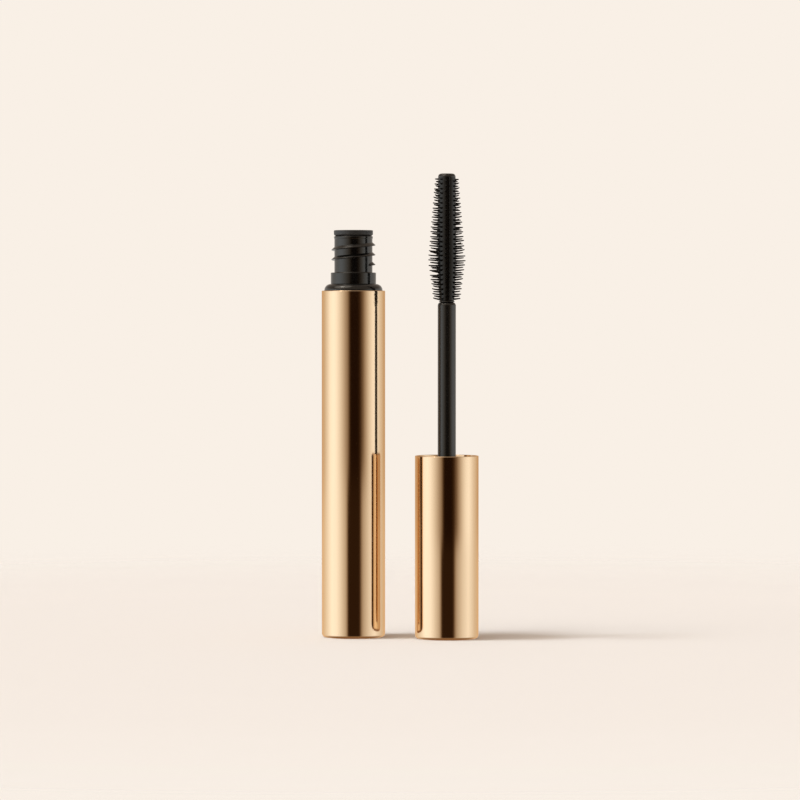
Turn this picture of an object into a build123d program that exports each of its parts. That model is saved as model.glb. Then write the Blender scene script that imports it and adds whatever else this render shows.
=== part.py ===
from build123d import *
import os

# A mascara, opened: the tube stands on its base, and beside it the cap stands on its closed end
# with its wand pointing up. Millimetres, +Z up. The origin is on the table, midway between the
# tube's axis and the cap's axis, which are both in the plane y = 0.
# Tube heights are measured from the tube's base, cap heights from the cap's closed end.

# ---- driving dimensions ----
outer_diameter = 16.0  # tube and cap are one straight line when closed
shell_height = 87.3
cap_height = 45.9
axis_spacing = 24.0

# drawn metal shells of the tube and the cap
shell_wall = 0.45
shell_floor = 0.6
shell_base_edge = 0.9
shell_inner_edge = 0.6
shell_rim_edge = 0.15
label_rim = 2.7  # from the shell's side in to the label's recess
label_recess_depth = 0.25
label_thickness = 0.12
label_gap = 0.2

# bottle
glue_gap = 0.05
bottle_wall = 0.95
bottle_floor = 1.2
bottle_corner = 1.0
cavity_corner = 1.5
step_below_rim = 0.6
shoulder_step = 0.15  # in from the bottle's side
shoulder_height = 1.7  # above the shell's rim
shoulder_thickness = 1.3
collar_ledge = 0.9  # out from the neck's wall
collar_height = 2.85
neck_share = 0.6  # of the shell's radius
neck_height = 9.2
neck_wall = 0.8
neck_bead = 0.08
neck_bead_height = 0.55
neck_edge = 0.15

# screw thread
pitch = 2.45
thread_depth = 0.75
thread_turns = 2.3
thread_start = 1.95  # height of its lower end over the collar
thread_start_angle = -40.0  # degrees round from +X
ridge_height = 1.0
crest_height = 0.12
under_flank = 0.14  # how far the lower flank rises from root to crest
sunk_share = 0.25  # of the thread's depth, that a ridge goes on into its wall
liner_turns = 2.0

# wiper
flange_lip = 0.125  # out over the neck's wall
flange_height = 1.4
wiper_length = 14.0  # below the flange's top
wiper_wall = 0.45
wiper_cup_length = 9.5
lip_length = 0.5
rod_clearance_in_lips = 0.14
slip = 0.05  # radial clearance of turned and pushed fits
snap_rise = 0.15
snap_width = 0.8
snap_below_neck_top = 4.0

# mascara paste
paste_headroom = 21.7  # below the cavity's top
paste_floor = 2.8
channel_clearance = 0.4  # round the widest bristles
bead_thickness = 0.5
bead_height = 1.5
bead_below_neck_top = 3.6

# cap liner
liner_below_rim = 1.9
liner_corner = 0.95
liner_wall_low = 1.2
thread_clearance = 0.25
collar_clearance = 0.35
collar_room = 0.3
diaphragm_thickness = 2.5
boss_wall = 1.1
boss_height = 2.3
closed_gap = 0.2  # between the two rims with the cap screwed home
seal_gap = 0.1
flank_gap = 0.1

# seal
seal_thickness = 1.2
seal_width_clearance = 0.5

# wand
rod_radius = 2.285
tip_above_base = 16.8  # the brush's tip over the tube's base, with the cap screwed home
rod_end_edge = 0.85
root_ledge = 0.765  # out from the rod's side
root_flange_ledge = 1.715
root_flange_height = 0.8
root_tail = 1.2
root_barb = 0.3
brush_socket_depth = 9.0

# brush
brush_length = 32.2
brush_collar_step = 0.335  # in from the rod's side
brush_collar_height = 0.35
core_radius = 1.45
stem_radius = 1.25
tip_height = 0.95
tip_radius = 2.2
tip_edge = 0.75
sleeve_radius_low = 1.85
sleeve_radius_widest = 2.35
stations = 26
first_station = 0.4  # above the brush's collar
station_pitch = 1.2
row_stagger = 0.5  # of the pitch, that every second row is raised
widest_station = 8
reach_low = 3.5
reach_widest = 4.85
reach_tip = 3.0
rows = 12  # places round the brush, two of them left smooth
smooth_rows = (0, 6)
smooth_row_angle = -54.0  # degrees round from +X
bristle_root_radius = 0.27
bristle_tip_radius = 0.14

# ---- sizes worked out from them ----
outer_radius = outer_diameter / 2
shell_bore = outer_radius - shell_wall
label_recess_radius = outer_radius - label_rim
bottle_radius = shell_bore - glue_gap
cavity_radius = bottle_radius - bottle_wall
cavity_bottom = shell_floor + bottle_floor
shoulder_radius = bottle_radius - shoulder_step
shoulder_top = shell_height + shoulder_height
cavity_top = shoulder_top - shoulder_thickness
neck_radius = outer_radius * neck_share
collar_radius = neck_radius + collar_ledge
collar_top = shoulder_top + collar_height
neck_top = collar_top + neck_height
neck_bore = neck_radius - neck_wall
flange_radius = neck_radius + flange_lip
flange_bottom = neck_top + slip
tube_top = flange_bottom + flange_height
thread_bottom = collar_top + thread_start
thread_radius = neck_radius + thread_depth

skirt_radius = neck_bore - slip
cup_radius = skirt_radius - wiper_wall
lip_radius = rod_radius + rod_clearance_in_lips
wiper_bottom = tube_top - wiper_length
cup_bottom = tube_top - wiper_cup_length
paste_level = cavity_top - paste_headroom

# a tube height and the cap height that it stands at when closed add up to this
closed_sum = shell_height + closed_gap + cap_height
liner_top = cap_height - liner_below_rim
seal_top = closed_sum - tube_top - seal_gap
liner_floor = seal_top - seal_thickness
liner_bore = thread_radius + thread_clearance
collar_bore = collar_radius + collar_clearance
collar_bore_bottom = closed_sum - collar_top - collar_room
diaphragm_bottom = liner_floor - diaphragm_thickness
boss_bottom = diaphragm_bottom - boss_height
flange_seat = liner_floor - root_flange_height
root_bottom = boss_bottom - root_tail
root_radius = rod_radius + root_ledge
root_flange_radius = rod_radius + root_flange_ledge

brush_top = closed_sum - tip_above_base
brush_bottom = brush_top - brush_length
rod_end_height = brush_bottom
brush_collar_radius = rod_radius - brush_collar_step
sleeve_bottom = brush_bottom + brush_collar_height
sleeve_top = brush_top - tip_height
widest_height = sleeve_bottom + first_station + widest_station * station_pitch
channel_radius = reach_widest + channel_clearance

tube_place = Pos(-axis_spacing / 2, 0, 0)
cap_place = Pos(axis_spacing / 2, 0, 0)
BASE = (Align.CENTER, Align.CENTER, Align.MIN)
CUT = 1.0  # how far a cutting bar runs past the face that it opens


def bar(radius, bottom, top, bottom_edge=0.0, top_edge=0.0):
    """A round bar about Z, with either edge rounded."""
    solid = Pos(0, 0, bottom) * Cylinder(radius, top - bottom, align=BASE)
    if bottom_edge:
        solid = fillet(solid.edges().sort_by(Axis.Z)[0], bottom_edge)
    if top_edge:
        solid = fillet(solid.edges().sort_by(Axis.Z)[-1], top_edge)
    return solid


def turned(*points):
    """The solid that a closed outline of (radius, height) points makes when it turns about Z."""
    outline = make_face(Polyline(*points, close=True))
    return revolve(Plane.XZ * outline, Axis.Z)


def ridge(root, depth, mirrored, bottom, angle, turns):
    """A right-hand thread ridge from bottom upwards, on a wall of radius root. It stands out by depth,
    or in where depth is negative. Its flanks run on a little into the wall, to join it cleanly."""
    tip_low = under_flank - ridge_height / 2
    tip_high = tip_low + crest_height
    low_run = under_flank * sunk_share
    high_run = (ridge_height / 2 - tip_high) * sunk_share
    corners = [
        (root - sunk_share * depth, -ridge_height / 2 - low_run),
        (root + depth, tip_low),
        (root + depth, tip_high),
        (root - sunk_share * depth, ridge_height / 2 + high_run),
    ]
    if mirrored:
        corners = [(radius, -height) for radius, height in corners]
    outline = make_face(Polyline(*corners, close=True))
    path = Helix(pitch, pitch * turns, root)
    swept = sweep(Plane.XZ * outline, path, is_frenet=True)
    return Pos(0, 0, bottom) * Rot(0, 0, angle) * swept


def run_out(radius, height, angle):
    """The block that pares a ridge's end down to a flat that is tangent to the neck."""
    block = Box(2 * thread_depth, 2 * radius, pitch, align=(Align.MIN, Align.CENTER, Align.CENTER))
    return Rot(0, 0, angle) * Pos(radius, 0, height) * block


def drawn_shell(height):
    """A deep-drawn metal cup: rounded closed end, straight wall, softened rim."""
    outside = bar(outer_radius, 0, height, shell_base_edge)
    inside = bar(shell_bore, shell_floor, height + CUT, shell_inner_edge)
    shell = outside - inside
    rim = shell.faces().sort_by(Axis.Z)[-1]
    return fillet(rim.edges(), shell_rim_edge)


def tube_shell():
    """The tube's metal shell, with the shallow recess for the label in its base."""
    return drawn_shell(shell_height) - bar(label_recess_radius, -CUT, label_recess_depth)


def base_label():
    """A blank round label stuck to the ceiling of the base recess."""
    return bar(label_recess_radius - label_gap, label_recess_depth - label_thickness, label_recess_depth)


def bottle():
    """The moulded bottle glued into the shell: shoulder, collar and threaded neck stand out of it."""
    step = shell_height - step_below_rim
    body = bar(bottle_radius, shell_floor, step, bottle_corner)
    shoulder = bar(shoulder_radius, step, shoulder_top, 0, shoulder_radius - collar_radius)
    collar = bar(collar_radius, shoulder_top - CUT, collar_top, 0, neck_edge)
    neck = bar(neck_radius, collar_top - CUT, neck_top, 0, neck_edge)
    bead = bar(neck_radius + neck_bead, neck_top - neck_bead_height, neck_top, neck_bead, neck_edge)
    thread = ridge(neck_radius, thread_depth, False, thread_bottom, thread_start_angle, thread_turns)
    end_angle = thread_start_angle + 360 * thread_turns
    end_height = thread_bottom + pitch * thread_turns
    thread -= run_out(neck_radius - slip, thread_bottom, thread_start_angle)
    thread -= run_out(neck_radius - slip, end_height, end_angle)
    solid = body + shoulder + collar + neck + bead + thread
    cavity = bar(cavity_radius, cavity_bottom, cavity_top, cavity_corner, cavity_corner)
    bore = bar(neck_bore, cavity_top - CUT, neck_top + CUT)
    return solid - cavity - bore - snap_ring(neck_bore, snap_width / 2 + slip)


def snap_ring(radius, half_width):
    """The low ring on the wiper's skirt, or the groove for it in the neck's wall."""
    middle = neck_top - snap_below_neck_top
    return turned(
        (radius - CUT / 2, middle - half_width),
        (radius, middle - half_width),
        (radius + snap_rise, middle - half_width / 2),
        (radius + snap_rise, middle + half_width / 2),
        (radius, middle + half_width),
        (radius - CUT / 2, middle + half_width),
    )


def wiper():
    """The soft wiper in the neck: a flange on top, a skirt, and a funnel down to the lips."""
    skirt_end = cup_bottom - wiper_wall
    taper = flange_height / 4
    body = turned(
        (0, wiper_bottom),
        (lip_radius + wiper_wall, wiper_bottom),
        (skirt_radius, skirt_end),
        (skirt_radius, flange_bottom),
        (flange_radius - taper, flange_bottom),
        (flange_radius, flange_bottom + taper),
        (flange_radius, tube_top),
        (0, tube_top),
    )
    hollow = turned(
        (0, wiper_bottom - CUT),
        (lip_radius, wiper_bottom - CUT),
        (lip_radius, wiper_bottom + lip_length),
        (cup_radius, cup_bottom),
        (cup_radius, tube_top + CUT),
        (0, tube_top + CUT),
    )
    return body + snap_ring(skirt_radius, snap_width / 2) - hollow


def formula_fill():
    """The mascara paste: a thick lining of the cavity, with the channel that the brush works in."""
    paste = bar(cavity_radius - slip, cavity_bottom, paste_level, cavity_corner)
    return paste - bar(channel_radius, cavity_bottom + paste_floor, paste_level + CUT, cavity_corner)


def formula_bead():
    """A ring of paste scraped off the rod, caught in the wiper's cup."""
    top = neck_top - bead_below_neck_top + bead_height
    outside = cup_radius - slip
    ring = bar(outside, top - bead_height, top)
    return ring - bar(outside - bead_thickness, top - bead_height - CUT, top + CUT)


def cap_shell():
    """The cap's metal shell."""
    return drawn_shell(cap_height)


def cap_liner():
    """The moulded liner glued into the cap: the threaded bore for the neck, and the wand's socket."""
    outside = bar(bottle_radius, shell_floor, liner_top, liner_corner, neck_edge)
    below = bar(bottle_radius - liner_wall_low, shell_floor - CUT, diaphragm_bottom)
    boss = bar(root_radius + slip + boss_wall, boss_bottom, diaphragm_bottom + CUT)
    neck_room = bar(liner_bore, liner_floor, liner_top + CUT)
    collar_hollow = bar(collar_bore, collar_bore_bottom, liner_top + CUT)
    socket = bar(root_radius + slip, boss_bottom - CUT, liner_floor + CUT)
    flange_room = bar(root_flange_radius + slip, flange_seat, liner_floor + CUT)
    solid = outside - below + boss - neck_room - collar_hollow - socket - flange_room
    # closed, each liner ridge lies just under a neck ridge, turned half a turn by the closing flip
    half_turn = 180.0 - thread_start_angle
    top = closed_sum - thread_bottom + ridge_height + flank_gap
    return solid + ridge(liner_bore, -thread_depth, True, top - pitch * liner_turns, half_turn, liner_turns)


def wand_rod():
    """The wand's rod: a barbed root and flange held in the liner, and a socket for the brush."""
    rod = bar(rod_radius, flange_seat, rod_end_height, 0, rod_end_edge)
    flange = bar(root_flange_radius, flange_seat, liner_floor)
    root = bar(root_radius, root_bottom, liner_floor)
    barb = turned(
        (0, root_bottom),
        (root_radius, root_bottom),
        (root_radius + root_barb, boss_bottom - slip - snap_width / 2),
        (root_radius + root_barb, boss_bottom - slip),
        (0, boss_bottom - slip),
    )
    socket = bar(stem_radius + slip, rod_end_height - brush_socket_depth, rod_end_height + CUT)
    return rod + flange + root + barb - socket


def cap_seal():
    """The soft washer round the rod that the wiper's flange closes against."""
    washer = bar(liner_bore - seal_width_clearance, liner_floor, seal_top)
    return washer - bar(rod_radius + slip, liner_floor - CUT, seal_top + CUT)


def brush_core():
    """The brush's hard core: stem in the rod, collar, spindle under the sleeve, and blunt tip."""
    stem = bar(stem_radius, rod_end_height - brush_socket_depth + CUT / 2, brush_bottom + CUT / 2)
    collar = bar(brush_collar_radius, brush_bottom, sleeve_bottom, 0, brush_collar_height / 3)
    spindle = bar(core_radius, brush_bottom, sleeve_top + CUT / 2)
    tip = bar(tip_radius, sleeve_top, brush_top, 0, tip_edge)
    return stem + collar + spindle + tip


def taper(height, low, widest, high):
    """A radius that grows straight from low to widest, and shrinks straight to high at the tip."""
    if height < widest_height:
        share = (height - sleeve_bottom) / (widest_height - sleeve_bottom)
        return low + share * (widest - low)
    share = (height - widest_height) / (sleeve_top - widest_height)
    return widest + share * (high - widest)


def bristles():
    """The elastomer sleeve moulded over the core, with its rows of bristles."""
    inside = core_radius + slip
    sleeve = turned(
        (inside, sleeve_bottom),
        (sleeve_radius_low, sleeve_bottom),
        (sleeve_radius_widest, widest_height),
        (tip_radius, sleeve_top),
        (inside, sleeve_top),
    )
    spikes = []
    for station in range(stations):
        for row in range(rows):
            height = sleeve_bottom + first_station + (station + row_stagger * (row % 2)) * station_pitch
            if row in smooth_rows or height > sleeve_top - bristle_root_radius:
                continue
            reach = taper(height, reach_low, reach_widest, reach_tip)
            foot = taper(height, sleeve_radius_low, sleeve_radius_widest, tip_radius)
            root = (foot + inside) / 2
            spike = Cone(bristle_root_radius, bristle_tip_radius, reach - root, align=BASE)
            angle = smooth_row_angle + row * 360 / rows
            spikes.append(Rot(0, 0, angle) * Pos(root, 0, height) * Rot(0, 90, 0) * spike)
    return sleeve.fuse(*spikes)


tube_pieces = [tube_shell, base_label, bottle, wiper, formula_fill, formula_bead]
cap_pieces = [cap_shell, cap_liner, cap_seal, wand_rod, brush_core, bristles]

os.makedirs("parts", exist_ok=True)
for place, pieces in ((tube_place, tube_pieces), (cap_place, cap_pieces)):
    for piece in pieces:
        export_step(place * piece(), f"parts/{piece.__name__}.step")
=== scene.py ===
# %% [markdown]
# # A mascara, opened
# The object is two things that screw together: a gold tube with a black threaded neck, and a gold
# cap that carries a wand. Here the tube stands on its base, and the cap stands upside down beside it.
# The sizes and the joints come from a finished design, which is loaded first and never moved.
# Everything made below is dressed round that design, in metres, on the same origin.

# %% Load the design
import math
import random

import bmesh
import bpy
from mathutils import Matrix, Vector


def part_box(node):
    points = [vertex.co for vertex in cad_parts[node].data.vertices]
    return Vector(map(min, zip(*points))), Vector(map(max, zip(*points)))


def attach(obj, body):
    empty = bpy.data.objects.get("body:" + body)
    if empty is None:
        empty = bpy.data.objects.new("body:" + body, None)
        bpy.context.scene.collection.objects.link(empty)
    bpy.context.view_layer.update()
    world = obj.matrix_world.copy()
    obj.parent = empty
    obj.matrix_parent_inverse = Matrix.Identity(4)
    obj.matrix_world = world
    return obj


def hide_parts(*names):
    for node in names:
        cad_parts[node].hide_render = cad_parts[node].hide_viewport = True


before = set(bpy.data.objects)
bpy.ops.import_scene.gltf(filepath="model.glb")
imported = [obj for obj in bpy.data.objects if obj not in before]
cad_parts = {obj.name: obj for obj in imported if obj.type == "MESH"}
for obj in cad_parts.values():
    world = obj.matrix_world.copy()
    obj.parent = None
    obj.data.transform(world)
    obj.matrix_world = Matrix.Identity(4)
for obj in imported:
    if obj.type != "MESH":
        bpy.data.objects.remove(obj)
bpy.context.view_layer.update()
print("design loaded:", sorted(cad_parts))

# %% [markdown]
# The design gives each part's box, so the two upright axes, the radius and the heights are read from
# it rather than typed in again. Small details that a box can't tell, such as a wall or a rounding,
# are given in millimetres where they are first needed, and MM turns them into metres.

# %% Axes, radius and heights
MM = 0.001
TURN = 2 * math.pi


def low_high(node):
    """A node's lowest and highest corners."""
    low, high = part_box(node)
    return Vector(low), Vector(high)


def axis_of(node):
    """The x of a node's upright axis."""
    low, high = low_high(node)
    return (low.x + high.x) / 2


tube_x = axis_of("tube_shell")
cap_x = axis_of("cap_shell")
case_radius = (low_high("tube_shell")[1].x - low_high("tube_shell")[0].x) / 2
tube_height = low_high("tube_shell")[1].z
cap_height = low_high("cap_shell")[1].z
print("axes at", round(tube_x / MM, 2), round(cap_x / MM, 2), "mm, radius", round(case_radius / MM, 2))

# %% [markdown]
# ## Turned pieces
# Nearly every piece of a mascara is round about one axis: drawn metal, or plastic from a round mould.
# Such a piece could be stacked from cylinders, but its rounded edges would then be hard to control.
# It is made here as a potter would: one outline of corner points, each corner rounded by its own
# radius with a vertex bevel, and the outline spun once round the axis.

# %% The turning helper
ROUND_STEPS = 144


def outline_edges(bm, corners):
    """Edges through (radius, height, rounding) corners in millimetres, each corner rounded."""
    points = [bm.verts.new((radius * MM, 0, height * MM)) for radius, height, _ in corners]
    for start, end in zip(points, points[1:]):
        bm.edges.new((start, end))
    for point, (_, _, rounding) in zip(points, corners):
        if rounding:
            bmesh.ops.bevel(
                bm, geom=[point], affect="VERTICES", offset=rounding * MM, offset_type="OFFSET",
                segments=6, profile=0.5, material=-1, clamp_overlap=False,
            )


def turn(bm, steps=ROUND_STEPS):
    """Spins everything in the bmesh once round Z and closes the seam and the poles."""
    bmesh.ops.spin(
        bm, geom=bm.verts[:] + bm.edges[:], cent=(0, 0, 0), axis=(0, 0, 1),
        angle=TURN, steps=steps, use_merge=True,
    )
    bmesh.ops.remove_doubles(bm, verts=bm.verts[:], dist=1e-7)
    loose = [edge for edge in bm.edges if not edge.link_faces]
    bmesh.ops.delete(bm, geom=loose, context="EDGES")
    bmesh.ops.recalc_face_normals(bm, faces=bm.faces[:])


def finish_piece(name, bm, x, material, body, slot, stands_for, crease=35):
    """Moves the bmesh to its axis and makes it a smooth piece that rides on a body, for one node."""
    bmesh.ops.translate(bm, verts=bm.verts[:], vec=(x, 0, 0))
    for face in bm.faces:
        face.smooth = True
    for edge in bm.edges:
        edge.smooth = not (edge.is_manifold and edge.calc_face_angle(0) > math.radians(crease))
    open_edges = sum(not edge.is_manifold for edge in bm.edges)
    mesh = bpy.data.meshes.new(name)
    bm.to_mesh(mesh)
    bm.free()
    piece = bpy.data.objects.new(name, mesh)
    bpy.context.scene.collection.objects.link(piece)
    mesh.materials.append(material)
    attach(piece, body)
    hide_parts(stands_for)
    print(name, len(mesh.polygons), "faces,", open_edges, "open edges")


def turned(name, corners, *rest):
    """A whole piece from one outline."""
    bm = bmesh.new()
    outline_edges(bm, corners)
    turn(bm)
    finish_piece(name, bm, *rest)


# %% [markdown]
# ## A bench for shader maths
# A finish is a small graph of nodes. Drawn by hand it is quick to make and slow to read, so here it
# is written as sums. A Wire wraps one socket, and + - * / on a Wire adds a Math node. A Bench is one
# node tree, and its node method makes any other node from its type, its settings and its inputs.

# %% Wire and Bench
class Wire:
    """One output socket, with Python's operators."""

    def __init__(self, bench, socket):
        self.bench = bench
        self.socket = socket

    def maths(self, operation, *inputs):
        """A Math node on up to three inputs."""
        return self.bench.node("ShaderNodeMath", {"operation": operation}, dict(enumerate(inputs)))

    def __add__(self, other):
        return self.maths("ADD", self, other)

    def __radd__(self, other):
        return self.maths("ADD", other, self)

    def __sub__(self, other):
        return self.maths("SUBTRACT", self, other)

    def __rsub__(self, other):
        return self.maths("SUBTRACT", other, self)

    def __mul__(self, other):
        return self.maths("MULTIPLY", self, other)

    def __truediv__(self, other):
        return self.maths("DIVIDE", self, other)

    def __pow__(self, other):
        return self.maths("POWER", self, other)

    def between(self, low, high):
        """0 below low, 1 above high, and smooth in between."""
        settings = {"interpolation_type": "SMOOTHSTEP"}
        return self.bench.node("ShaderNodeMapRange", settings, {"Value": self, 1: low, 2: high})


class Bench:
    """One node tree to build on."""

    def __init__(self, tree):
        self.tree = tree

    def node(self, kind, settings=None, inputs=None, output=0):
        made = self.tree.nodes.new(kind)
        for name, value in (settings or {}).items():
            if name == "stops":
                set_stops(made.color_ramp, value)
            else:
                setattr(made, name, value)
        for name, value in (inputs or {}).items():
            self.feed(made.inputs[name], value)
        return Wire(self, made.outputs[output])

    def feed(self, socket, value):
        """Links a Wire to a socket, or sets the socket's own value."""
        if isinstance(value, Wire):
            self.tree.links.new(value.socket, socket)
        else:
            socket.default_value = value

    def place(self, stretch=(1, 1, 1)):
        """The Object coordinates, stretched."""
        here = self.node("ShaderNodeTexCoord", output=3)
        return self.node("ShaderNodeMapping", {}, {"Vector": here, "Scale": stretch})

    def noise(self, scale, detail=3.0, stretch=(1, 1, 1)):
        """Noise from 0 to 1, scale lumps to the metre."""
        inputs = {"Vector": self.place(stretch), "Scale": scale, "Detail": detail}
        return self.node("ShaderNodeTexNoise", {}, inputs)

    def colours(self, factor, first, second):
        """A mix of two colours."""
        settings = {"data_type": "RGBA", "clamp_factor": True}
        return self.node("ShaderNodeMix", settings, {0: factor, 6: first, 7: second}, output=2)


def set_stops(ramp, stops):
    """Gives a colour ramp its (position, grey) stops."""
    while len(ramp.elements) > 1:
        ramp.elements.remove(ramp.elements[-1])
    for number, (position, grey) in enumerate(stops):
        element = ramp.elements[0] if number == 0 else ramp.elements.new(position)
        element.position = position
        element.color = (grey, grey, grey, 1)


def new_finish(name, **fixed):
    """A material with one Principled shader, and the values that are the same all over it."""
    material = bpy.data.materials.new(name)
    material.use_nodes = True
    shader = material.node_tree.nodes["Principled BSDF"]
    for socket, value in fixed.items():
        shader.inputs[socket.replace("_", " ")].default_value = value
    return material, Bench(material.node_tree), shader


def bump(bench, shader, height, distance, strength=1.0):
    """Feeds a height through a Bump node to the shader's Normal."""
    made = bench.node("ShaderNodeBump", {}, {"Height": height, "Distance": distance, "Strength": strength})
    bench.feed(shader.inputs["Normal"], made)


# %% [markdown]
# ## Gold anodised aluminium
# The cases are deep-drawn, polished and anodised gold. Polished metal has no colour of its own but
# what it mirrors, tinted, so the base colour is the tint. A real case isn't a perfect mirror: a faint
# haze varies over it, drawing leaves very fine upright lines, and the dye takes a little unevenly.
# Each is a small noise. Haze and lines feed the roughness, dye feeds the colour, and the lines feed
# the bump too.

# %% Gold
def gold_finish():
    material, bench, shader = new_finish(
        "gold_anodised", Metallic=1.0, Specular_Tint=(1.0, 0.72, 0.48, 1), IOR=1.5
    )
    haze = bench.noise(90, 4)
    draw_lines = bench.noise(2600, 2, stretch=(1, 1, 0.012))
    dye = bench.noise(35, 2)
    deep = (0.81, 0.588, 0.366, 1)
    light = (0.84, 0.612, 0.39, 1)
    bench.feed(shader.inputs["Base Color"], bench.colours(dye, deep, light))
    bench.feed(shader.inputs["Roughness"], 0.06 + haze * 0.04 + draw_lines * 0.03)
    bump(bench, shader, draw_lines, 0.0000015, 0.35)
    return material


gold = gold_finish()
print("finish:", gold.name)

# %% [markdown]
# ## Black plastics and paste
# Five blacks tell the parts apart. The bottle is glossy moulded plastic, the rod and the brush's core
# are a little softer in gloss, the wiper is waxy and matte, the bristles are a soft elastomer, and the
# paste is wet. None of them is dead flat: each has slight waves and a fine bloom in its gloss. One
# function makes all five, because only the colour, the gloss and the size of the grain differ.

# %% Blacks
def black_finish(name, colour, gloss, gloss_spread, grain, grain_depth, waves=0.0, **fixed):
    material, bench, shader = new_finish(name, **fixed)
    bloom = bench.noise(220, 4)
    fine = bench.noise(grain, 3)
    slow = bench.noise(160, 1)
    dusty = tuple(channel * 1.6 for channel in colour)
    bench.feed(shader.inputs["Base Color"], bench.colours(bloom, (*colour, 1), (*dusty, 1)))
    bench.feed(shader.inputs["Roughness"], gloss + (bloom - 0.5) * gloss_spread)
    bump(bench, shader, fine + slow * waves, grain_depth)
    return material


warm = (1.0, 0.95, 0.86, 1)
black_gloss = black_finish(
    "black_gloss_moulding", (0.0025, 0.0026, 0.0025), 0.16, 0.08, 3000, 0.000003, 6,
    IOR=1.6, Specular_Tint=warm,
)
black_satin = black_finish(
    "black_satin_moulding", (0.003, 0.003, 0.0028), 0.24, 0.12, 4000, 0.000005, 4,
    IOR=1.6, Specular_Tint=warm,
)
black_matte = black_finish("black_matte_wiper", (0.02, 0.02, 0.019), 0.5, 0.12, 5200, 0.00002, 1)
elastomer = black_finish(
    "black_elastomer", (0.0025, 0.0025, 0.0024), 0.3, 0.14, 6000, 0.00001, 1,
    IOR=1.45, Specular_Tint=warm,
)
paste = black_finish(
    "wet_mascara_paste", (0.004, 0.0035, 0.0035), 0.14, 0.1, 900, 0.00012, 2, Coat_Weight=0.3
)
print("five blacks")

# %% [markdown]
# ## The blank base label
# A shade label would be stuck in the recess under the tube. It is left blank: a satin champagne film
# with the slight mottle of a stuck-down label.

# %% Label
def label_finish():
    material, bench, shader = new_finish("blank_label_film", Metallic=0.35)
    mottle = bench.noise(700, 4)
    bench.feed(shader.inputs["Base Color"], bench.colours(mottle, (0.62, 0.46, 0.3, 1), (0.7, 0.55, 0.38, 1)))
    bench.feed(shader.inputs["Roughness"], 0.42 + mottle * 0.12)
    bump(bench, shader, mottle, 0.00001)
    return material


label_film = label_finish()
print("finish:", label_film.name)

# %% [markdown]
# ## The two gold cases
# Each case is a cup drawn from sheet: a wall just under half a millimetre, a rounded closed end and a
# softened rim. The tube's base has a shallow recess for the label. The outline runs from the axis
# out over the outside, over the rim, and back to the axis inside, so that the wall has a real
# thickness and the rim catches light as a thin bright ring.

# %% Cases
wall = 0.45
floor_thickness = 0.6
recess_radius = 5.3
recess_depth = 0.25
base_edge = 0.9
inner_edge = 0.6
rim_edge = 0.17
radius_mm = case_radius / MM


def case_outline(height, recess=0.0):
    """A drawn cup's outline, with a recess of that depth in its closed end."""
    base = [(0, 0, 0)]
    if recess:
        base = [(0, recess, 0), (recess_radius, recess, 0.08), (recess_radius, 0, 0.12)]
    return base + [
        (radius_mm, 0, base_edge),
        (radius_mm, height, rim_edge),
        (radius_mm - wall, height, rim_edge),
        (radius_mm - wall, floor_thickness, inner_edge),
        (0, floor_thickness, 0),
    ]


tube_outline = case_outline(tube_height / MM, recess_depth)
cap_outline = case_outline(cap_height / MM)
turned("tube_case", tube_outline, tube_x, gold, "tube", "gold_shell", "tube_shell")
turned("cap_case", cap_outline, cap_x, gold, "cap_and_wand", "gold_shell", "cap_shell")

# %% [markdown]
# ## The bottle and its thread
# The black bottle fills the tube and shows only above it: a domed shoulder, a straight collar, and
# the neck with its screw thread. The body is one more turned outline. The thread is the same spin
# with a rise at every step, which is how a screw is drawn. At each end the ridge is sunk back into
# the neck over an eighth of a turn, as a mould lets it run out.

# %% Bottle
bottle_radius = 7.5
shoulder_radius = 7.35
collar_radius = 5.7
neck_radius = 4.8
neck_bore = 4.0
cavity_radius = 6.55
cavity_floor = 1.8
neck_rim = 0.1  # how far the low bead at the mouth stands out
shell_top = tube_height / MM
neck_top = low_high("bottle")[1].z / MM
shoulder_foot = shell_top - 0.6
shoulder_top = shell_top + 1.7
shoulder_underside = shoulder_top - 1.3
collar_top = shoulder_top + 2.85
bottle_outline = [
    (0, floor_thickness, 0),
    (bottle_radius, floor_thickness, 1.0),
    (bottle_radius, shoulder_foot, 0.1),
    (shoulder_radius, shoulder_foot, 0),
    (shoulder_radius, shoulder_top, 1.62),
    (collar_radius, shoulder_top, 0.1),
    (collar_radius, collar_top, 0.16),
    (neck_radius, collar_top, 0.14),
    (neck_radius, neck_top - 0.72, 0.12),
    (neck_radius + neck_rim, neck_top - 0.55, 0.08),
    (neck_radius + neck_rim, neck_top, 0.22),
    (neck_bore, neck_top, 0.1),
    (neck_bore, shoulder_underside, 0.4),
    (cavity_radius, shoulder_underside, 1.2),
    (cavity_radius, cavity_floor, 1.4),
    (0, cavity_floor, 0),
]

pitch = 2.45
ridge_depth = 0.75
ridge_half = 0.5
sunk_radius = neck_radius - 0.2  # the ridge's root, inside the neck's wall
crest_low = -0.36
crest_high = -0.24
thread_turns = 2.3
thread_foot = collar_top + 1.95
thread_start = math.radians(-40)
STEPS_A_TURN = 96


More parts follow.
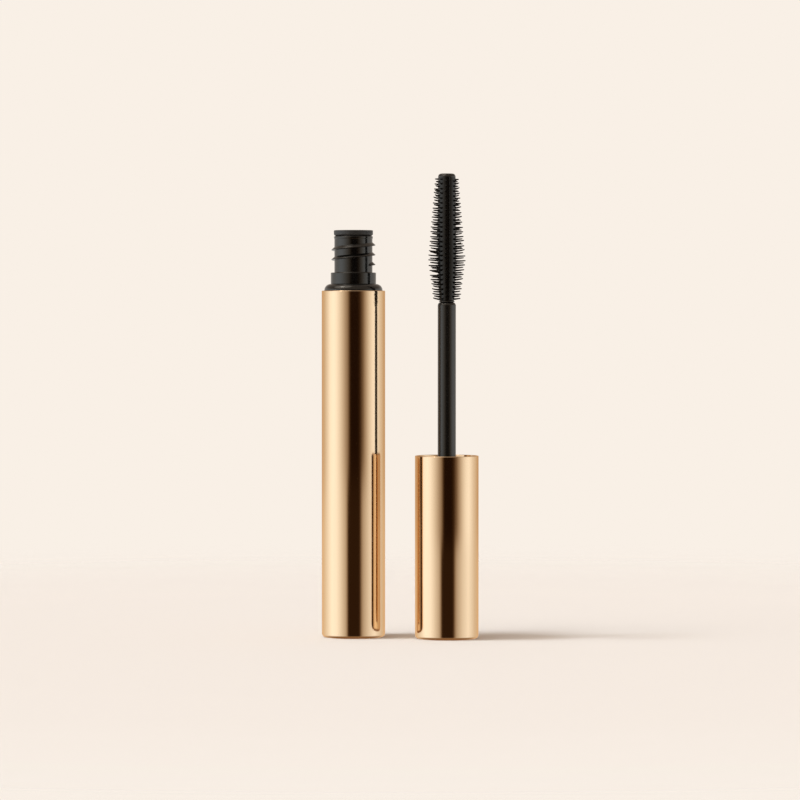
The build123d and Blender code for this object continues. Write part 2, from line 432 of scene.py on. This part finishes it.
def screw_ridge(bm):
    """The thread: a small closed profile, screwed up round the neck, and run out at both ends."""
    steps = round(thread_turns * STEPS_A_TURN)
    profile = [
        (sunk_radius, -ridge_half - 0.04),
        (neck_radius + ridge_depth, crest_low),
        (neck_radius + ridge_depth, crest_high),
        (sunk_radius, ridge_half + 0.1),
    ]
    points = [bm.verts.new((radius * MM, 0, (thread_foot + rise) * MM)) for radius, rise in profile]
    for start, end in zip(points, points[1:] + points[:1]):
        bm.edges.new((start, end))
    bmesh.ops.bevel(
        bm, geom=points[1:3], affect="VERTICES", offset=0.06 * MM, offset_type="OFFSET",
        segments=3, profile=0.5, material=-1, clamp_overlap=True,
    )
    first = set(bm.verts) - turned_verts
    edges = [edge for edge in bm.edges if edge.verts[0] in first and edge.verts[1] in first]
    bmesh.ops.rotate(bm, verts=list(first), cent=(0, 0, 0), matrix=Matrix.Rotation(thread_start, 3, "Z"))
    bmesh.ops.spin(
        bm, geom=list(first) + edges, cent=(0, 0, 0), axis=(0, 0, 1),
        dvec=(0, 0, pitch * MM / STEPS_A_TURN), angle=thread_turns * TURN, steps=steps,
    )
    ridge = [vert for vert in bm.verts if vert not in turned_verts]
    run_out(ridge)
    rims = [edge for edge in bm.edges if edge.is_boundary]
    bmesh.ops.holes_fill(bm, edges=rims, sides=0)


def run_out(ridge):
    """Sinks a ridge into the neck over the last eighth of a turn at each end."""
    fade = TURN / 8
    rise_a_radian = pitch * MM / TURN
    for vert in ridge:
        along = (vert.co.z - thread_foot * MM) / rise_a_radian
        angle = math.atan2(vert.co.y, vert.co.x) - thread_start
        along = angle % TURN + TURN * round((along - angle % TURN) / TURN)
        left = min(along, thread_turns * TURN - along)
        keep = min(max(left / fade, 0.0), 1.0)
        keep = keep * keep * (3 - 2 * keep)
        out = math.hypot(vert.co.x, vert.co.y)
        wanted = sunk_radius * MM + (out - sunk_radius * MM) * keep
        vert.co.xy *= wanted / out


bm = bmesh.new()
outline_edges(bm, bottle_outline)
turn(bm)
turned_verts = set(bm.verts)
screw_ridge(bm)
bmesh.ops.recalc_face_normals(bm, faces=bm.faces[:])
finish_piece("bottle_moulding", bm, tube_x, black_gloss, "tube", "black_gloss", "bottle")

# %% [markdown]
# ## The wiper
# A soft plug in the neck. Its flange closes the mouth, and inside, a funnel ends in lips that scrape
# the wand as it comes out. Its edges are softer than the bottle's, because it is soft plastic.

# %% Wiper
wiper_top = low_high("wiper")[1].z / MM
wiper_foot = low_high("wiper")[0].z / MM
flange_radius = 4.925
flange_underside = wiper_top - 1.4
skirt_radius = 3.95
cup_radius = 3.5
lip_radius = 2.425
lip_wall = 0.45
wiper_outline = [
    (lip_radius, wiper_foot, 0.08),
    (lip_radius + lip_wall, wiper_foot, 0.12),
    (skirt_radius, wiper_top - 9.95, 0.4),
    (skirt_radius, flange_underside, 0.05),
    (flange_radius - 0.35, flange_underside, 0.1),
    (flange_radius, wiper_top - 1.05, 0.12),
    (flange_radius, wiper_top, 0.16),
    (cup_radius, wiper_top, 0.18),
    (cup_radius, wiper_top - 9.5, 0.6),
    (lip_radius, wiper_foot + 0.5, 0.2),
    (lip_radius, wiper_foot, 0),
]
turned("wiper_plug", wiper_outline, tube_x, black_matte, "wiper_insert", "black_matte", "wiper")

# %% [markdown]
# ## The rod
# A straight rod of satin black plastic, rounded over at the brush end, with a flange and a barbed
# root that hold it in the cap's liner, and a blind hole for the brush's stem.

# %% Rod
rod_foot = low_high("wand_rod")[0].z / MM
rod_top = low_high("wand_rod")[1].z / MM
rod_radius = 2.285
rod_root_radius = 3.05
barb_radius = 3.35
rod_flange_radius = 4.0
socket_radius = 1.3
socket_floor = rod_top - 9.0
liner_floor = low_high("cap_seal")[0].z / MM
flange_foot = liner_floor - 0.8
barb_top = liner_floor - 4.85
rod_outline = [
    (0, rod_foot, 0),
    (rod_root_radius, rod_foot, 0),
    (barb_radius, liner_floor - 5.25, 0.05),
    (barb_radius, barb_top, 0.05),
    (rod_root_radius, barb_top, 0),
    (rod_root_radius, flange_foot, 0),
    (rod_flange_radius, flange_foot, 0.1),
    (rod_flange_radius, liner_floor, 0.1),
    (rod_radius, liner_floor, 0.15),
    (rod_radius, rod_top, 0.85),
    (socket_radius, rod_top, 0.08),
    (socket_radius, socket_floor, 0),
    (0, socket_floor, 0),
]
turned("wand_rod_moulding", rod_outline, cap_x, black_satin, "cap_and_wand", "black_satin", "wand_rod")

# %% [markdown]
# ## The brush
# The brush is moulded in two shots. The hard core has a stem in the rod, a low collar, and a blunt
# tip. The elastomer sleeve over it carries rows of bristles, and two smooth raised ribs opposite each
# other, where there are no bristles. Bristles are longest a third of the way up and shorten in straight
# tapers both ways.

# %% Core
core_foot = low_high("brush_core")[0].z / MM
brush_top = low_high("brush_core")[1].z / MM
sleeve_foot = low_high("bristles")[0].z / MM
sleeve_top = low_high("bristles")[1].z / MM
stem_radius = 1.25
brush_collar_radius = 1.95
spindle_radius = 1.45
tip_radius = 2.2
core_outline = [
    (0, core_foot, 0),
    (stem_radius, core_foot, 0.15),
    (stem_radius, rod_top, 0),
    (brush_collar_radius, rod_top, 0.1),
    (brush_collar_radius, sleeve_foot, 0.25),
    (spindle_radius, sleeve_foot, 0),
    (spindle_radius, sleeve_top, 0),
    (tip_radius, sleeve_top, 0.05),
    (tip_radius, brush_top, 0.8),
    (0, brush_top, 0),
]
turned(
    "brush_core_moulding", core_outline, cap_x, black_satin, "cap_and_wand", "black_satin", "brush_core"
)

# %% Sleeve and ribs
foot_radius = 1.85
belly_radius = 2.35
sleeve_bore = 1.5
station_pitch = 1.2
stations = 26
first_station = sleeve_foot + 0.4
belly_height = first_station + 8 * station_pitch
rib_angle = math.radians(-54)
rib_half_angle = math.radians(11)
rib_proud = 0.5  # over the sleeve


def tapered(height, low, belly, high):
    """A radius that grows straight from the sleeve's foot to its belly, and shrinks to its top."""
    if height < belly_height:
        share = (height - sleeve_foot) / (belly_height - sleeve_foot)
        return low + share * (belly - low)
    share = (height - belly_height) / (sleeve_top - belly_height)
    return belly + share * (high - belly)


def add_rib(bm, angle):
    """A smooth raised strip up the sleeve: its outline swept through a small angle."""
    rib = bmesh.new()
    inner = foot_radius - 0.3
    outline = [
        (inner, sleeve_foot + 0.1),
        (foot_radius + rib_proud, sleeve_foot + 0.1),
        (belly_radius + rib_proud, belly_height),
        (tip_radius + rib_proud, sleeve_top),
        (inner, sleeve_top),
    ]
    points = [rib.verts.new((radius * MM, 0, height * MM)) for radius, height in outline]
    face = rib.faces.new(points)
    start = Matrix.Rotation(angle - rib_half_angle, 3, "Z")
    bmesh.ops.rotate(rib, verts=rib.verts[:], cent=(0, 0, 0), matrix=start)
    bmesh.ops.spin(rib, geom=[face], cent=(0, 0, 0), axis=(0, 0, 1), angle=2 * rib_half_angle, steps=8)
    long_edges = [
        edge for edge in rib.edges
        if abs(edge.verts[0].co.z - edge.verts[1].co.z) > 5 * MM and edge.calc_face_angle(0) > 1
        and min(vert.co.xy.length for vert in edge.verts) > (foot_radius + rib_proud / 2) * MM
    ]
    bmesh.ops.bevel(
        rib, geom=long_edges, affect="EDGES", offset=0.12 * MM, offset_type="OFFSET",
        segments=4, profile=0.5, material=-1, clamp_overlap=True,
    )
    bmesh.ops.recalc_face_normals(rib, faces=rib.faces[:])
    append(bm, rib)


def append(bm, other):
    """Adds another bmesh's geometry to bm."""
    mesh = bpy.data.meshes.new("passing")
    other.to_mesh(mesh)
    other.free()
    bm.from_mesh(mesh)
    bpy.data.meshes.remove(mesh)


# %% [markdown]
# One bristle is an eight-sided peg of a few rings: a ring of edges is extruded outwards again and
# again, each ring a little smaller and a little higher, so that the peg tapers and curves gently
# upwards, and the last ring is closed to a rounded point. It is made a few times with different
# bends, and each copy gets its own height, length, lean and place round the brush, from a seeded draw.
# Every second row is raised by half a step, so that neighbouring rows interlock.

# %% Bristles
SIDES = 8
PEG = 2.0
root_radius = 0.3
RINGS = ((0.12, 0.26), (0.4, 0.205), (0.72, 0.17), (0.93, 0.14), (0.99, 0.08))  # place along, radius


def bristle(bend):
    """A peg along +X, PEG millimetres long, bent towards +Z by that share of its length."""
    bm = bmesh.new()
    ring = bmesh.ops.create_circle(bm, cap_ends=True, segments=SIDES, radius=root_radius * MM)["verts"]
    bmesh.ops.rotate(bm, verts=ring, cent=(0, 0, 0), matrix=Matrix.Rotation(math.pi / 2, 3, "Y"))
    edges = bm.edges[:]
    width = root_radius
    for along, wanted in RINGS:
        grown = bmesh.ops.extrude_edge_only(bm, edges=edges)["geom"]
        ring = [item for item in grown if isinstance(item, bmesh.types.BMVert)]
        edges = [item for item in grown if isinstance(item, bmesh.types.BMEdge)]
        middle = sum((vert.co for vert in ring), Vector()) / SIDES
        goal = Vector((along, 0, bend * along * along)) * PEG * MM
        shrink = (1, wanted / width, wanted / width)
        bmesh.ops.scale(bm, verts=ring, vec=shrink, space=Matrix.Translation(-middle))
        bmesh.ops.translate(bm, verts=ring, vec=goal - middle)
        width = wanted
    bmesh.ops.contextual_create(bm, geom=edges)
    bmesh.ops.recalc_face_normals(bm, faces=bm.faces[:])
    mesh = bpy.data.meshes.new("peg")
    bm.to_mesh(mesh)
    bm.free()
    return mesh


draws = random.Random(7)
pegs = [bristle(bend) for bend in (0.02, 0.05, 0.09, 0.13)]
bm = bmesh.new()
sleeve_outline = [
    (sleeve_bore, sleeve_foot, 0),
    (foot_radius, sleeve_foot, 0.1),
    (belly_radius, belly_height, 1.5),
    (tip_radius, sleeve_top, 0),
    (sleeve_bore, sleeve_top, 0),
    (sleeve_bore, sleeve_foot, 0),
]
outline_edges(bm, sleeve_outline)
turn(bm, 64)
for side in (0, math.pi):
    add_rib(bm, rib_angle + side)
ROWS = 12
sunk_foot = 0.25  # how deep a bristle starts in the sleeve
count = 0
for row in range(ROWS):
    if row % (ROWS // 2) == 0:
        continue  # a rib is here
    for station in range(stations):
        height = first_station + (station + 0.5 * (row % 2)) * station_pitch
        if height > sleeve_top - sunk_foot:
            continue
        height += draws.uniform(-0.08, 0.08)
        start = tapered(height, foot_radius, belly_radius, tip_radius) - sunk_foot
        reach = tapered(height, 3.47, 4.8, 2.97) - start
        bm.verts.ensure_lookup_table()
        before = len(bm.verts)
        bm.from_mesh(draws.choice(pegs))
        bm.verts.ensure_lookup_table()
        new = bm.verts[before:]
        length = reach * draws.uniform(0.965, 1.0)
        lean = math.radians(draws.uniform(-5.0, 2.0))
        angle = rib_angle + row * TURN / ROWS + math.radians(draws.uniform(-1.6, 1.6))
        place = (
            Matrix.Rotation(angle, 4, "Z")
            @ Matrix.Translation((start * MM, 0, height * MM))
            @ Matrix.Rotation(lean, 4, "Y")
            @ Matrix.Diagonal((length / PEG, 1, 1, 1))
        )
        bmesh.ops.transform(bm, matrix=place, verts=new)
        count += 1
print(count, "bristles")
finish_piece(
    "brush_bristles", bm, cap_x, elastomer, "cap_and_wand", "bristle_elastomer", "bristles", crease=60
)

# %% [markdown]
# ## Pieces that keep their drawn shape
# The liner, the seal, the label and the paste are right as designed, so they only get their finish.

# %% Finishes for the designed pieces
kept = {
    "cap_liner": black_gloss,
    "cap_seal": black_matte,
    "base_label": label_film,
    "formula_fill": paste,
    "formula_bead": paste,
}
for node, finish in kept.items():
    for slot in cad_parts[node].material_slots:
        slot.material = finish
print("finished as designed:", ", ".join(kept))

# %% [markdown]
# ## Floor
# A wide plain sheet of cream. It is a disc whose edge fades to nothing far from the object, so that it
# meets the backdrop with no horizon line. It is hidden from reflections, so the gold mirrors only the
# room. The price is that from high above, the cases mirror the room's brown underside and look too
# dark and coppery.

# %% Floor
def floor_finish():
    material, bench, shader = new_finish("cream_floor", Roughness=0.9)
    shader.inputs["Specular IOR Level"].default_value = 0.1
    shader.inputs["Base Color"].default_value = (0.9, 0.85, 0.8, 1)
    here = bench.node("ShaderNodeTexCoord", output=3)
    distance = bench.node("ShaderNodeVectorMath", {"operation": "LENGTH"}, {0: here}, output=1)
    bench.feed(shader.inputs["Alpha"], 1 - distance.between(0.16, 0.42))
    return material


bm = bmesh.new()
floor_radius = 0.45
bmesh.ops.create_circle(bm, cap_ends=True, segments=96, radius=floor_radius)
mesh = bpy.data.meshes.new("floor")
bm.to_mesh(mesh)
bm.free()
floor = bpy.data.objects.new("floor", mesh)
bpy.context.scene.collection.objects.link(floor)
mesh.materials.append(floor_finish())
floor.visible_glossy = False
print("floor radius", floor_radius, "m")

# %% [markdown]
# ## Camera
# Products like this are shot with a long lens from a metre away, so that the sides stay parallel. The
# camera stands at about three quarters of the tube's height and looks down by about one degree, which
# keeps the rims nearly straight lines and puts the object in the middle of the picture.

# %% Camera
camera_azimuth = math.radians(12.0)
camera_distance = 1.0
camera_height = 0.08
aim_height = 0.0598
picture_scale = 3977 / 800  # picture widths to a metre at the object
lens_data = bpy.data.cameras.new("camera")
lens_data.sensor_width = 36
lens_data.lens = picture_scale * camera_distance * lens_data.sensor_width
lens_data.clip_start = 0.05
lens_data.clip_end = 20
camera = bpy.data.objects.new("camera", lens_data)
bpy.context.scene.collection.objects.link(camera)
camera.location = (
    camera_distance * math.sin(camera_azimuth),
    -camera_distance * math.cos(camera_azimuth),
    camera_height,
)
look = Vector((0, 0, aim_height)) - camera.location
camera.rotation_euler = look.to_track_quat("-Z", "Y").to_euler()
bpy.context.scene.camera = camera
print("lens", round(lens_data.lens), "mm")

# %% [markdown]
# ## Light
# Polished metal shows the room, so the room is the light. Round the object stands a wall of soft
# light, bright to the left and right, with a dark gap where the camera is: that gap is the dark
# stripe down the middle of each case. Its brightness is drawn against the angle round the object,
# once for level and upward rays and once for rays that go down. Dim parts of such a room are warmer
# than bright ones, so red falls more slowly than blue. Over the wall is a dim ceiling with a wide lamp
# box high on the left and a small hot one in its middle, which give the domed shoulder and the thread
# their highlights. Under it all is a dark brown. What the camera sees directly is plain cream.

# %% The soft wall
BRIGHTEST = 1.45  # a ramp holds 0 to 1, so the stops are divided by this and multiplied back
wall_level = [
    (-180, 0.6), (-130, 0.7), (-109, 0.98), (-92, 1.33), (-77, 1.42), (-64, 1.3), (-52, 1.04), (-40, 0.73),
    (-29, 0.44), (-21, 0.27), (-15, 0.08), (-11, 0.016), (-7, 0.006), (15, 0.006), (21, 0.012), (27, 0.035),
    (36, 0.15), (48, 0.48), (60, 0.85), (73, 1.15), (87, 1.28), (112, 0.88), (145, 0.6), (180, 0.6),
]
wall_low = [
    (-180, 0.75), (-130, 0.88), (-109, 1.08), (-85, 1.42), (-64, 1.32), (-52, 1.1), (-40, 0.82), (-29, 0.58),
    (-23, 0.3), (-19, 0.04), (-15, 0.014), (20, 0.014), (25, 0.05), (31, 0.3), (36, 0.48), (48, 0.71),
    (60, 0.92), (84, 1.2), (120, 0.8), (180, 0.75),
]


def wall_light(bench, turn_share, stops):
    """The wall's brightness round the object, from stops of (degrees, brightness)."""
    settings = {"stops": [((degrees + 180) / 360, bright / BRIGHTEST) for degrees, bright in stops]}
    return bench.node("ShaderNodeValToRGB", settings, {"Fac": turn_share}) * BRIGHTEST


world = bpy.data.worlds.new("studio")
bpy.context.scene.world = world
world.use_nodes = True
bench = Bench(world.node_tree)
ray = bench.node("ShaderNodeTexCoord", output=0)
split = bench.node("ShaderNodeSeparateXYZ", {}, {0: ray})
parts = split.socket.node.outputs
east, north, up = (Wire(bench, parts[n]) for n in range(3))
angle = east.maths("ARCTAN2", east, north * -1) - camera_azimuth
angle = angle.maths("WRAP", angle, math.pi, -math.pi)
share = angle / TURN + 0.5
low_share = 1 - up.between(-0.075, -0.03)
level = wall_light(bench, share, wall_level)
low = wall_light(bench, share, wall_low)
bright = level * (1 - low_share) + low * low_share
wall_colour = bench.node(
    "ShaderNodeCombineColor", {}, {0: bright ** 0.82, 1: bright, 2: bright ** 1.2}
)


def lamp_box(direction, half_angle, soft):
    """1 for rays within half_angle degrees of a direction, fading to 0 over soft degrees more."""
    aim = bench.node("ShaderNodeVectorMath", {"operation": "DOT_PRODUCT"}, {0: ray, 1: direction}, output=1)
    edge = math.cos(math.radians(half_angle + soft))
    return aim.between(edge, math.cos(math.radians(half_angle)))


upper_left = Vector((-0.46, -0.34, 0.82)).normalized()
ceiling = (0.45, 0.37, 0.31, 1)
underside = (0.28, 0.17, 0.1, 1)
wide_lamp = (1.8, 1.65, 1.5, 1)
hot_lamp = (9.0, 8.6, 8.2, 1)
above = bench.colours(lamp_box(upper_left, 22, 8), ceiling, wide_lamp)
above = bench.colours(lamp_box(upper_left, 4, 3), above, hot_lamp)
room = bench.colours(up.between(0.15, 0.4), wall_colour, above)
room = bench.colours(up.between(-0.8, -0.3), underside, room)
backdrop = (0.947, 0.871, 0.791, 1)
seen = bench.node("ShaderNodeLightPath", output=0)
colour = bench.colours(seen, room, backdrop)
background = world.node_tree.nodes["Background"]
bench.feed(background.inputs["Color"], colour)
print("soft wall of", len(wall_level), "and", len(wall_low), "stops")

# %% [markdown]
# One broad lamp high on the left gives the soft shadow that falls to the right. It is hidden from
# reflections too, because the lamp boxes above already stand for it there.

# %% Key lamp
key_data = bpy.data.lights.new("key", "SUN")
key_data.energy = 1.3
key_data.angle = math.radians(12)
key_data.color = (0.8, 0.91, 1.0)
key = bpy.data.objects.new("key", key_data)
bpy.context.scene.collection.objects.link(key)
key_from = Vector((-0.43, -0.15, 0.89))
key.visible_glossy = False
key.rotation_euler = key_from.to_track_quat("Z", "Y").to_euler()
bpy.context.scene.view_settings.view_transform = "Standard"
print("key lamp from", tuple(round(c, 2) for c in key_from))
